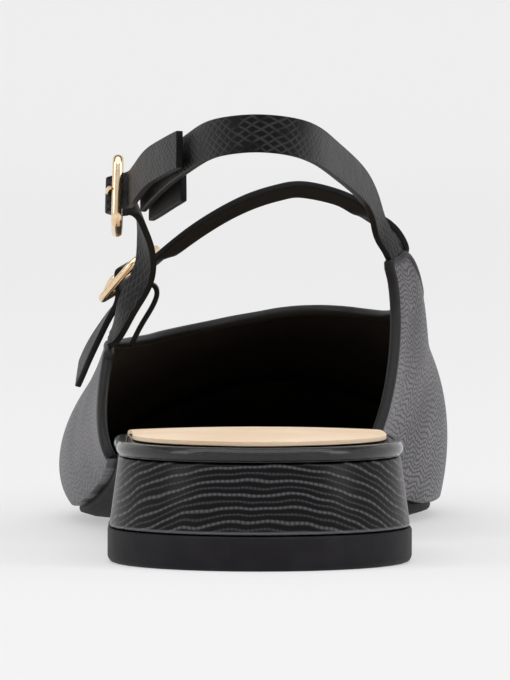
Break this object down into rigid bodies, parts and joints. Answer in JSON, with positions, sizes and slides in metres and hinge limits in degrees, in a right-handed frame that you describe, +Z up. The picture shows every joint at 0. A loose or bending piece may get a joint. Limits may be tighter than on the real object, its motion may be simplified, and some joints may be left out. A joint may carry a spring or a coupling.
{
  "type": "slingback shoe",
  "caption": "left slingback shoe with a closed pointed toe, low block heel, buckled heel strap and buckled strap over the instep",
  "frame": {"origin": "on the floor, under the middle of the bounding box", "axes": "+Y from the heel to the toe, +Z up, +X towards the inner side of the foot"},
  "size_m": [0.0838, 0.2518, 0.0882],
  "materials": {
    "lift": "matt, near black",
    "heel_cover": "glossy, embossed with scales",
    "outsole": "satin, black",
    "seat_leather": "smooth, glossy, black",
    "embossed_leather": "satin, embossed with small scales",
    "cap_leather": "smooth, glossy",
    "sock_leather": "smooth, matt, cream",
    "strap_leather": "glossy, embossed with scales",
    "strap_lining": "smooth, matt, dark",
    "gold": "polished, pale gold"
  },
  "bodies": {
    "root": {"top_lift": "lift", "heel_block": "heel_cover", "outsole": "outsole", "insole": "seat_leather", "upper": "embossed_leather", "toe_cap": "cap_leather", "sock": "sock_leather", "sling_strap": "strap_leather", "sling_fold": "strap_lining", "riser_strap": "strap_leather", "instep_strap": "strap_leather", "buckle_tab": "strap_lining", "upper_buckle": "gold", "upper_buckle_pin": "gold", "lower_buckle": "gold", "lower_buckle_pin": "gold"}
  },
  "joints": []
}
